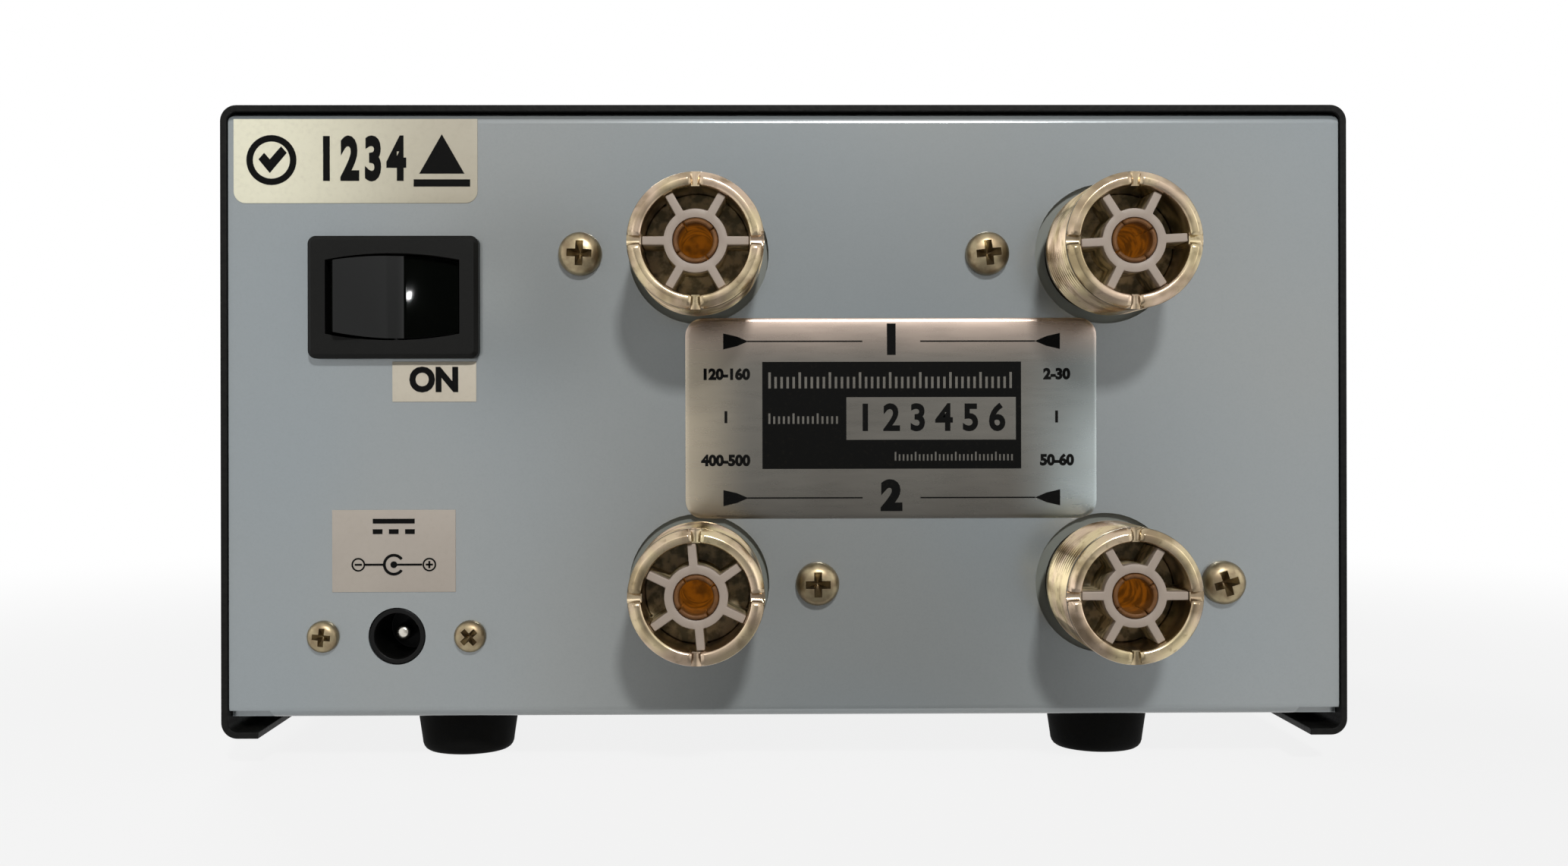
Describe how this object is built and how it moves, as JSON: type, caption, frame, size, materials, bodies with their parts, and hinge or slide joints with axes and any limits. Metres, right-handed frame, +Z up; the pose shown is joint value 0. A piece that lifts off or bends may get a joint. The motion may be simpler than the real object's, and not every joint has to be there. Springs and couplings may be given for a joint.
{
  "type": "swr power meter",
  "caption": "Bench radio-frequency power and standing-wave meter: black cover, grey rear panel with coaxial sockets, a rocker switch and a supply jack, on rubber feet.",
  "frame": {"origin": "on the surface the feet stand on, under the middle of the whole object's box", "axes": "+Z up; +Y out of the rear panel, along the sockets; +X to the left of someone who faces the rear panel"},
  "size_m": [0.144, 0.1222, 0.0825],
  "materials": {
    "panel_paint": "smooth blue-grey powder coat on bent sheet",
    "cover_paint": "fine-textured black powder coat on bent sheet",
    "foot_rubber": "matt moulded rubber",
    "dark_screw": "black oxide",
    "bright_screw": "zinc plated",
    "nickel": "bright nickel plate, slightly warm",
    "insulator": "moulded, satin",
    "gilt_contact": "tarnished gilt",
    "tinplate": "soldered tinplate",
    "copper_strip": "bare copper",
    "ferrite": "sintered ferrite",
    "board_green": "solder-masked circuit board",
    "jack_plastic": "moulded",
    "bright_pin": "nickel plated",
    "switch_plastic": "moulded nylon, faint sheen",
    "bezel_plastic": "fine spark-eroded texture",
    "key_plastic": "moulded",
    "window_clear": "clear acrylic",
    "display_glass": "display glass",
    "backlight_plastic": "light guide",
    "small_parts": "moulded component bodies"
  },
  "bodies": {
    "case": {"chassis": "panel_paint", "top_cover": "cover_paint", "rubber_feet": "foot_rubber", "cover_screws": "dark_screw", "panel_screws": "bright_screw", "dc_jack_screws": "bright_screw", "dc_jack_nuts": "bright_screw", "dc_jack_body": "jack_plastic", "dc_jack_pin": "bright_pin", "rocker_frame": "switch_plastic", "rocker_terminals": "bright_pin", "front_bezel": "bezel_plastic", "display_window": "window_clear", "lcd_glass": "display_glass", "lcd_backlight": "backlight_plastic", "front_board": "board_green", "tact_switches": "small_parts", "board_components": "small_parts", "socket_shell_a_low": "nickel", "socket_insulator_a_low": "insulator", "socket_contact_a_low": "gilt_contact", "socket_shell_a_high": "nickel", "socket_insulator_a_high": "insulator", "socket_contact_a_high": "gilt_contact", "socket_shell_b_low": "nickel", "socket_insulator_b_low": "insulator", "socket_contact_b_low": "gilt_contact", "socket_shell_b_high": "nickel", "socket_insulator_b_high": "insulator", "socket_contact_b_high": "gilt_contact", "coupler_box_a": "tinplate", "coupler_lid_a": "tinplate", "line_strip_a": "copper_strip", "sensor_core_a": "ferrite", "sensor_board_a": "board_green", "coupler_box_b": "tinplate", "coupler_lid_b": "tinplate", "line_strip_b": "copper_strip", "sensor_core_b": "ferrite", "sensor_board_b": "board_green"},
    "rocker": {"rocker_paddle": "switch_plastic"},
    "power_key": {"power_key": "key_plastic"},
    "range_key": {"range_key": "key_plastic"},
    "mode_key": {"mode_key": "key_plastic"},
    "light_key": {"light_key": "key_plastic"}
  },
  "joints": [
    {"name": "rocker_tilt", "type": "hinge", "parent": "case", "child": "rocker", "pos_m": [0.0484, 0.0446, 0.0586], "axis": [0, 0, 1], "range_deg": [-22, 0]},
    {"name": "power_key_press", "type": "slide", "parent": "case", "child": "power_key", "axis": [0, 1, 0], "range_m": [0, 0.0005], "stiffness_N_per_m": 800},
    {"name": "range_key_press", "type": "slide", "parent": "case", "child": "range_key", "axis": [0, 1, 0], "range_m": [0, 0.0005], "stiffness_N_per_m": 800},
    {"name": "mode_key_press", "type": "slide", "parent": "case", "child": "mode_key", "axis": [0, 1, 0], "range_m": [0, 0.0005], "stiffness_N_per_m": 800},
    {"name": "light_key_press", "type": "slide", "parent": "case", "child": "light_key", "axis": [0, 1, 0], "range_m": [0, 0.0005], "stiffness_N_per_m": 800}
  ]
}
